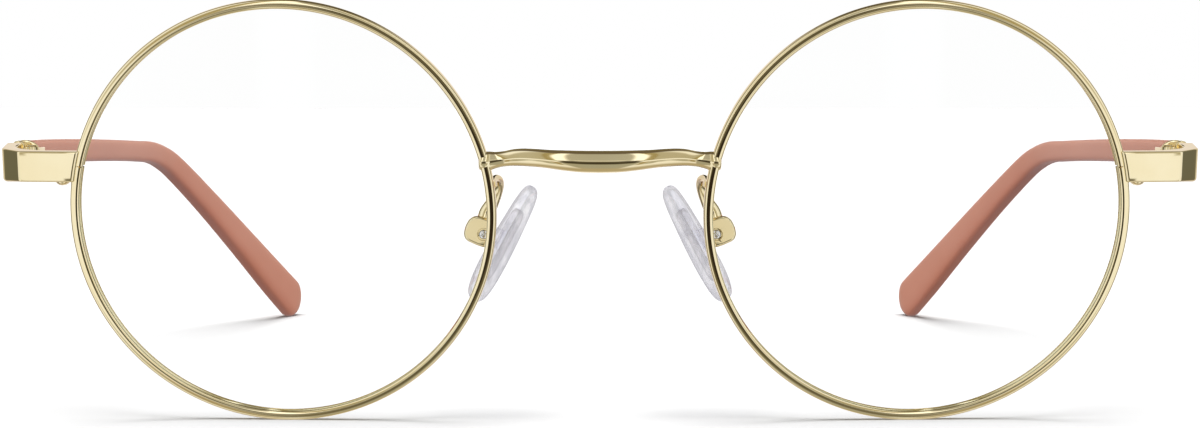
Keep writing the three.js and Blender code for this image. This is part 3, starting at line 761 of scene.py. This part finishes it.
# (radius, height): pin below, head on top
PIN_PROFILE = [
    (0, HINGE_LOW - PIN_TAIL), (0.26, HINGE_LOW - PIN_TAIL), (PIN_R, HINGE_LOW - 0.04),
    (PIN_R, HINGE_HIGH + 0.03), (0.57, HINGE_HIGH + 0.03), (0.60, HINGE_HIGH + 0.06),
    (0.60, HINGE_HIGH + 0.10), (0.52, HINGE_HIGH + 0.17), (0.34, HINGE_HIGH + 0.21),
    (0, HINGE_HIGH + 0.22),
]

pair("hinge_front", hinge_front(), GOLD, weighted=True)
pair("hinge_temple", hinge_temple(), GOLD, weighted=True)
pair("hinge_screw",
     slotted(PIN_PROFILE, 40, at_hinge, rectangle(0.7, 0.07),
             slot_low=HINGE_HIGH + 0.10, slot_high=HINGE_HIGH + 0.4),
     GOLD, weighted=True)

# ---- temples ----------------------------------------------------------------------------------
# Stations from the hinge to the tip: x, y, z, height, thickness
TEMPLE = [
    [-66.55, 7.30, 30.24, 3.00, 2.05], [-66.60, 20.0, 30.20, 2.94, 2.10],
    [-66.60, 40.0, 29.90, 2.90, 2.15], [-66.45, 59.0, 29.45, 2.90, 2.20],
    [-66.20, 72.0, 29.05, 2.96, 2.30], [-65.85, 80.0, 28.72, 3.12, 2.38],
    [-65.30, 86.0, 27.85, 3.38, 2.46], [-64.30, 92.0, 26.05, 3.72, 2.55],
    [-61.60, 103.0, 20.75, 4.12, 2.65], [-58.10, 115.0, 13.95, 4.90, 2.75],
    [-54.80, 126.0, 7.45, 5.85, 2.80], [-52.42, 133.5, 3.00, 6.30, 2.80],
]
TIP_LENGTH = 3.1
SLEEVE_EDGE = 0.28                              # rounding of the sleeve's front end
CORE_THICK, CORE_HIGH, BORE_PLAY = 0.9, 1.5, 0.1
BORE_END, CORE_END = 126.5, 122                 # y
# Plate across the temple's front end: x, z
CAP_OUTLINE = [[-67.72, 28.95], [-67.40, 28.72], [-66.5, 28.72], [-66.32, 28.95], [-66.32, 31.30],
               [-66.55, 31.62], [-67.0, 31.78], [-67.5, 31.66], [-67.74, 31.3]]
# Wider arched plate behind it: x, z
ARCH_OUTLINE = [[-67.72, 28.95], [-67.73, 31.30], [-67.32, 31.68], [-66.75, 31.84], [-66.15, 31.82],
                [-65.55, 31.64], [-65.08, 31.30], [-64.82, 30.85], [-64.78, 30.2], [-64.78, 28.95]]


def stations(rows):
    """(middle, direction, side, up, height, thickness) at each row; the first faces straight back."""
    out = []
    for i, row in enumerate(rows):
        before, after = rows[max(i - 1, 0)][:3], rows[min(i + 1, len(rows) - 1)][:3]
        along = unit(after - before) if i else np.array([0.0, 1.0, 0.0])
        side = unit(np.cross(along, [0.0, 0.0, 1.0]))
        up = unit(np.cross(side, along))
        if up[2] < 0:
            up = -up
        out.append((row[:3], along, side, up, row[3], row[4]))
    return out


def stations_until(end):
    return stations(np.array([row for row in spline(TEMPLE, 4) if row[1] < end]))


def sleeve():
    """Temple sleeve, rounded at both ends, with a bore for the core wire."""
    count = 48
    line = stations(spline(TEMPLE, 8))
    loops = []
    middle, along, side, up, high, thick = line[0]
    for a in quarter(4):
        less = 2 * SLEEVE_EDGE * (1 - sin(a))
        loops.append(section(middle + along * SLEEVE_EDGE * (1 - cos(a)), side, up,
                             thick - less, high - less, count, power=3.0))
    for middle, along, side, up, high, thick in line[1:]:
        loops.append(section(middle, side, up, thick, high, count, power=3.2))
    for a in quarter(12)[1:-1]:
        loops.append(section(middle + along * TIP_LENGTH * sin(a), side, up,
                             thick * (0.30 + 0.70 * cos(a)), high * cos(a),
                             count, power=3.2 - 0.9 * sin(a)))
    loops.append([middle + along * TIP_LENGTH])
    bore = [section(middle, side, up, CORE_THICK + BORE_PLAY,
                    min(CORE_HIGH, high * 0.5) + BORE_PLAY, count, power=2.4)
            for middle, _, side, up, high, _ in stations_until(BORE_END)]
    skin_verts, faces = loft(loops, cap=(False, False))
    base = len(skin_verts)
    bore_verts, bore_faces = loft(bore, cap=(False, True))
    faces += [tuple(i + base for i in reversed(face)) for face in bore_faces]
    # flat ring between the skin and the bore's mouth
    for j in range(count):
        k = (j + 1) % count
        faces.append((j, base + j, base + k, k))
    return to_mesh((skin_verts + bore_verts, faces))


def temple_core():
    """Core wire with the two plates at its front end."""
    cap = slab(round_poly(CAP_OUTLINE, 0.3, 5), HINGE_Y + 0.02, HINGE_Y + 0.96, upright,
               rounding=0.14)
    arch = slab(round_poly(ARCH_OUTLINE, [0.3] + [1.6] * 8 + [0.3], 5),
                HINGE_Y + 0.86, HINGE_Y + 1.14, upright, rounding=0.13)
    line = stations_until(CORE_END)
    line[0][0][1] = HINGE_Y + 0.5       # the wire starts inside the cap
    wire = loft([section(middle, side, up, CORE_THICK, min(CORE_HIGH, high * 0.5), 24, power=2.4)
                 for middle, _, side, up, high, _ in line])
    return shape(cap, adds=[arch, wire])


pair("temple", sleeve(), SLEEVE, sharp=60)
pair("temple_core", temple_core(), GOLD, weighted=True)

# ---- bridge -----------------------------------------------------------------------------------
# Right half, foot end to middle: x, y, z, height, thickness
BRIDGE_FOOT = [
    [-13.56, -1.98, 29.58, 1.30, 1.10], [-13.50, -2.00, 29.58, 1.70, 1.46],
    [-13.34, -2.02, 29.58, 1.98, 1.62], [-13.00, -2.03, 29.59, 2.16, 1.66],
    [-12.65, -2.02, 29.61, 2.20, 1.62],
]
BRIDGE = [
    [-12.30, -1.99, 29.64, 2.16, 1.50], [-11.85, -2.01, 29.71, 1.94, 1.44],
    [-11.40, -2.04, 29.78, 1.82, 1.40], [-10.70, -2.12, 29.89, 1.76, 1.38],
    [-9.60, -2.28, 30.04, 1.91, 1.44], [-8.40, -2.48, 30.06, 2.01, 1.50],
    [-6.90, -2.74, 29.98, 2.05, 1.58], [-5.60, -2.92, 29.86, 2.12, 1.66],
    [-4.00, -3.06, 29.72, 2.30, 1.74], [-2.00, -3.14, 29.60, 2.46, 1.80],
    [0.00, -3.16, 29.57, 2.50, 1.80],
]


def bridge():
    up, back = np.array([0, -SIN_TILT, COS_TILT]), np.array([0, COS_TILT, SIN_TILT])
    half = np.concatenate([spline(BRIDGE_FOOT + BRIDGE[:1], 4)[:-1], spline(BRIDGE, 6)])
    rows = np.concatenate([half, (half[:-1] * np.array([-1, 1, 1, 1, 1]))[::-1]])
    return to_mesh(loft([section(row[:3], back, up, row[4], row[3], 52, power=2.02)
                         for row in rows]))


add_piece("bridge_look", bridge(), GOLD, "bridge", sharp=60)

# ---- nose pad arm, box and screw --------------------------------------------------------------
# Stations from the rim to the box: x, y, z, width, thickness
PAD_ARM = [
    [-12.20, -1.55, 26.98, 1.00, 1.00], [-12.10, -0.92, 27.12, 0.96, 0.96],
    [-12.00, 0.30, 27.42, 0.90, 0.90], [-11.72, 1.50, 27.58, 0.90, 0.90],
    [-11.46, 2.60, 27.34, 0.90, 0.90], [-11.44, 3.40, 26.65, 0.95, 0.90],
    [-11.80, 3.95, 25.70, 1.20, 0.90], [-12.38, 4.30, 24.60, 1.55, 0.92],
    [-12.90, 4.45, 23.60, 1.85, 0.95], [-13.10, 4.50, 22.80, 1.95, 1.00],
]
# Box outline in its own frame: x, z, with the rounding of each corner
PAD_BOX = [[-1.5, -1.3], [-0.4, -1.42], [0.7, -1.42], [0.7, 1.85], [-1.15, 1.85],
           [-1.75, 1.6], [-2.15, 1.05], [-2.28, 0.2], [-2.2, -0.6], [-1.9, -1.1]]
PAD_BOX_RADII = [0.9, 0.5, 0.36, 0.42, 0.7, 0.9, 1.0, 1.4, 1.0, 0.9]
PAD_BOX_HALF = 1.12                             # half depth, along y
# (radius, y): domed head at the front, shank behind
PAD_SCREW = dome(radius=0.54, rise=0.26, low=-1.38) + [
    (0.54, -0.99), (0.50, -0.95), (0.3, -0.95), (0.3, 1.15), (0.24, 1.17), (0, 1.17)]
PAD_SCREW_SLOT = [(-0.55, -0.48), (0.48, 0.55), (0.55, 0.48), (-0.48, -0.55)]   # diagonal


def pad_arm():
    rows = spline(PAD_ARM, 7)
    loops = []
    for i, row in enumerate(rows):
        before, after = rows[max(i - 1, 0)][:3], rows[min(i + 1, len(rows) - 1)][:3]
        along = unit(after - before)
        side = unit(np.array([1.0, 0, 0]) - along * along[0])
        loops.append(section(row[:3], side, unit(np.cross(along, side)), row[3], row[4], 28,
                             power=2.1))
    return to_mesh(loft(loops))


def pad_box():
    """Box open on one side, bored for the screw with a seat at the front."""
    body = slab(round_poly(PAD_BOX, PAD_BOX_RADII), -PAD_BOX_HALF, PAD_BOX_HALF, boxed_upright,
                rounding=0.30, steps=6)
    slot = box(x=(-1.3, 2), y=(-0.62, 0.62), z=(-1.0, 1.0), rounding=0.02, corner=0.05,
               to_frame=boxed)
    hole = rod(0.34, -3, 3, 32, boxed_upright)
    seat = turned([(0, -3), (0.74, -3), (0.74, -1.02), (0.68, -0.94), (0, -0.94)], 40,
                  boxed_upright)
    return shape(body, cuts=[slot, hole, seat], edge=0.03)


pair("pad_arm", pad_arm(), GOLD, sharp=60)
pair("pad_box", pad_box(), GOLD, weighted=True)
pair("pad_screw",
     slotted(PAD_SCREW, 36, boxed_upright, PAD_SCREW_SLOT, slot_low=-1.6, slot_high=-1.2),
     STEEL, weighted=True)

# ---- nose pad ---------------------------------------------------------------------------------
# Insert plate: up, side
INSERT_PLAN = [[-4.6, -1.2], [-3.9, -1.9], [3.6, -1.7], [4.3, -1.0],
               [4.3, 1.0], [3.6, 1.7], [-3.9, 1.9], [-4.6, 1.2]]
# Pad sections from bottom to top: up, half width, half thickness
PAD_ROWS = [
    [-7.38, 0.75, 0.34], [-7.15, 1.72, 0.70], [-6.4, 2.62, 1.00], [-5.0, 3.26, 1.18],
    [-2.6, 3.50, 1.26], [0.2, 3.42, 1.22], [2.8, 3.08, 1.12], [5.0, 2.60, 1.02],
    [6.4, 1.98, 0.88], [7.1, 1.30, 0.64], [7.36, 0.64, 0.36],
]
PAD_BOTTOM, PAD_TOP = -7.44, 7.43
PAD_BACK_SHARE = 0.92                           # the face away from PAD_OUT is this much flatter


def boxed_block(x, half_y, half_z, rounding):
    plan = [[x[0], -half_y], [x[1], -half_y], [x[1], half_y], [x[0], half_y]]
    return slab(round_poly(plan, 0.2), -half_z, half_z, boxed, rounding)


def pad_core():
    """Plate inside the pad, with a stem and a bored tab that reaches into the box."""
    plate = slab(round_poly(INSERT_PLAN, 1.0, 6), -0.45, 0.35, padded_plan, rounding=0.18)
    stem = boxed_block((0.6, 2.75), half_y=0.85, half_z=1.1, rounding=0.15)
    tab = boxed_block((-0.95, 1.2), half_y=0.55, half_z=0.72, rounding=0.12)
    return shape(plate, adds=[stem, tab], cuts=[rod(0.35, -2, 2, 28, boxed_upright)])


def nose_pad():
    loops = [[padded(0, 0, PAD_BOTTOM)]]
    for up, wide, thick in spline(PAD_ROWS, 5):
        loops.append([padded(thick * y * (1.0 if y > 0 else PAD_BACK_SHARE), wide * x, up)
                      for x, y in superellipse(44, 2.25)])
    loops.append([padded(0, 0, PAD_TOP)])
    return to_mesh(loft(loops))


pair("pad_core", pad_core(), INSERT, weighted=True)
pair("nose_pad", nose_pad(), SILICONE, sharp=70)


# ---- floor ------------------------------------------------------------------------------------
def add_floor(size=14.0, cells=28):
    """Square paper floor, in metres, seen by the camera but not by reflections or bounces."""
    work = bmesh.new()
    marks = [size * (i / cells - 0.5) for i in range(cells + 1)]
    grid = [[work.verts.new((x, y, 0.0)) for y in marks] for x in marks]
    for i in range(cells):
        for j in range(cells):
            work.faces.new((grid[i][j], grid[i + 1][j], grid[i + 1][j + 1], grid[i][j + 1]))
    mesh = bpy.data.meshes.new("floor")
    work.to_mesh(mesh)
    work.free()
    ground = bpy.data.objects.new("floor", mesh)
    scene.collection.objects.link(ground)
    material, nodes = new_material("floor_paper")
    paper = nodes.mix(nodes.noise(nodes.coords(), scale=60),
                      (0.420, 0.420, 0.422), (0.432, 0.432, 0.432))
    nodes.surface(nodes.add("BsdfDiffuse", Color=paper))
    mesh.materials.append(material)
    ground.visible_glossy = False
    ground.visible_diffuse = False
    return ground


floor = add_floor()

# ---- world ------------------------------------------------------------------------------------
# Stops are in degrees: turn from 0 on the camera side to 180 opposite, height from -90 to 90.
UPPER_BAND = [
    (0, (0.47, 0.455, 0.40)), (8, (0.50, 0.485, 0.42)), (10, 1.45), (14.8, 1.45),
    (16.2, (0.44, 0.37, 0.19)), (19.8, (0.40, 0.33, 0.17)), (20.8, (0.52, 0.48, 0.36)),
    (27, (0.56, 0.52, 0.42)), (34, 1.05), (74, 0.95), (81, (0.14, 0.14, 0.11)),
    (112, (0.20, 0.19, 0.14)), (124, (0.74, 0.70, 0.58)), (160, (0.80, 0.75, 0.70)), (180, 1.12),
]
LOWER_BAND = [
    (0, (0.42, 0.41, 0.345)), (13.5, (0.44, 0.42, 0.34)), (16.5, 1.05), (52, 1.0),
    (70, (0.90, 0.85, 0.80)), (80, (0.13, 0.13, 0.10)), (112, (0.22, 0.20, 0.16)),
    (122, (0.84, 0.78, 0.74)), (160, (0.62, 0.56, 0.56)), (180, 1.05),
]
BAND_SPLIT = [(-16, 0.0), (-13, 1.0)]
LOW_HEIGHTS = [(-50, 0.0), (-42, 1.0), (-25, 1.0), (-23, 0.0)]
# Patches laid over the bands in turn: colour, turn stops, height stops, strength
PATCHES = [
    # dark slit on the camera side
    ((0.030, 0.022, 0.014), [(11.5, 1.0), (14.5, 0.0)],
     [(-29, 0.0), (-25, 1.0), (-10, 1.0), (-7, 0.0)], 1.0),
    # dim borders below and within the slit's heights
    ((0.16, 0.14, 0.09), [(15.2, 1.0), (16.4, 0.0)],
     [(-30, 0.0), (-28, 1.0), (-23.5, 1.0), (-22, 0.0),
      (-17.5, 0.0), (-16.5, 1.0), (-12.5, 1.0), (-10.5, 0.0)], 0.85),
    # two low strips side by side
    ((0.42, 0.34, 0.18), [(15.3, 0.0), (16.4, 1.0), (20.2, 1.0), (21.4, 0.0)], LOW_HEIGHTS, 1.0),
    ((0.50, 0.47, 0.38), [(20.2, 0.0), (21.4, 1.0), (27, 1.0), (31, 0.0)], LOW_HEIGHTS, 1.0),
    # high area opposite the camera
    ((0.26, 0.23, 0.13), [(110, 0.0), (140, 1.0)], [(32, 0.0), (42, 1.0)], 1.0),
    # dark patch straight opposite the camera
    ((0.04, 0.035, 0.02), [(167, 0.0), (170, 1.0)],
     [(17, 0.0), (19.5, 1.0), (40, 1.0), (48, 0.0)], 1.0),
    # bright patch on the camera side, just below level
    ((0.84, 0.80, 0.70), [(6, 1.0), (8, 0.0)],
     [(-6, 0.0), (-5, 1.0), (-1.5, 1.0), (-0.5, 0.0)], 1.0),
]
CEILING, CEILING_STOPS = (0.15, 0.12, 0.08), [(58, 0.0), (72, 1.0)]
GROUND, GROUND_STOPS = (0.50, 0.43, 0.30), [(-74, 1.0), (-52, 0.0)]
# Soft light for all rays but glossy and camera ones: colour by height, strength by turn
SOFT_COLOURS = [
    (-90, (0.07, 0.03, 0.05)), (-42, (0.09, 0.05, 0.07)), (-20, (0.34, 0.24, 0.28)),
    (-4, 1.20), (14, 1.20), (28, 0.30), (42, 0.12), (90, 0.10),
]
SOFT_STRENGTHS = [(70, 1.80), (120, 1.25)]


def add_world():
    """Studio: patterned for reflections, soft for other rays, white to the camera."""
    world = bpy.data.worlds.new("studio")
    world.use_nodes = True
    scene.world = world
    nodes = Nodes(world.node_tree, "OutputWorld")
    direction = nodes.add("TexCoord").outputs["Generated"]
    x, y, z = nodes.add("SeparateXYZ", Vector=direction).outputs
    level = nodes.math("DIVIDE", nodes.math("ARCSINE", z), pi / 2)
    bearing = nodes.math("ARCTAN2", x, nodes.times(y, -1.0))
    turn = nodes.math("DIVIDE", nodes.math("ABSOLUTE", bearing), pi)
    height = nodes.math("MULTIPLY_ADD", level, 0.5, 0.5)

    def by_turn(stops):
        return nodes.ramp(turn, [(angle / 180, value) for angle, value in stops])

    def by_height(stops):
        return nodes.ramp(height, [(0.5 + angle / 180, value) for angle, value in stops])

    upper, lower = by_turn(UPPER_BAND), by_turn(LOWER_BAND)
    room = nodes.mix(by_height(BAND_SPLIT), lower, upper)
    for colour, turns, heights, strength in PATCHES:
        mask = nodes.times(by_turn(turns), by_height(heights))
        if strength < 1:
            mask = nodes.times(mask, strength)
        room = nodes.mix(mask, room, colour)
    room = nodes.mix(by_height(CEILING_STOPS), room, CEILING)
    room = nodes.mix(by_height(GROUND_STOPS), room, GROUND)

    soft = nodes.add("VectorMath", operation="MULTIPLY")
    nodes.put(soft.inputs[1], by_turn(SOFT_STRENGTHS))
    nodes.put(soft.inputs[0], by_height(SOFT_COLOURS))
    rays = nodes.add("LightPath").outputs
    seen = nodes.mix(rays["Is Glossy Ray"], soft, room)
    seen = nodes.mix(rays["Is Camera Ray"], seen, (1.0, 1.0, 1.0))
    nodes.surface(nodes.add("Background", Color=seen, Strength=1.0))


add_world()


# ---- lamps ------------------------------------------------------------------------------------
def lamp(name, energy, spread, lean, on_floor):
    """Soft sun from above that lights only the floor, or everything but the floor."""
    sun = bpy.data.lights.new(name, "SUN")
    sun.energy = energy
    sun.angle = radians(spread)
    light = bpy.data.objects.new(name, sun)
    light.rotation_euler = (radians(lean), 0, 0)
    light.visible_glossy = False
    scene.collection.objects.link(light)
    lit = bpy.data.collections.new(name + "_lit")
    lit.objects.link(floor)
    light.light_linking.receiver_collection = lit
    lit.collection_objects[0].light_linking.link_state = "INCLUDE" if on_floor else "EXCLUDE"


lamp("overhead", energy=7.2, spread=46, lean=7.5, on_floor=True)
lamp("top_fill", energy=1.5, spread=60, lean=8, on_floor=False)


# ---- camera and view --------------------------------------------------------------------------
def add_camera():
    """Camera in front of the glasses, looking back and a little down."""
    camera = bpy.data.cameras.new("camera")
    camera.sensor_width = 36.0
    camera.lens = 71.928
    camera.clip_start = 0.01
    camera.clip_end = 20.0
    viewer = bpy.data.objects.new("camera", camera)
    viewer.location = (0.0, -0.33604, 0.03693)
    viewer.rotation_euler = (radians(87.2), 0.0, 0.0)
    scene.collection.objects.link(viewer)
    scene.camera = viewer


add_camera()
scene.view_settings.view_transform = "Standard"
scene.view_settings.look = "None"
scene.view_settings.exposure = 0.0
scene.view_settings.gamma = 1.0
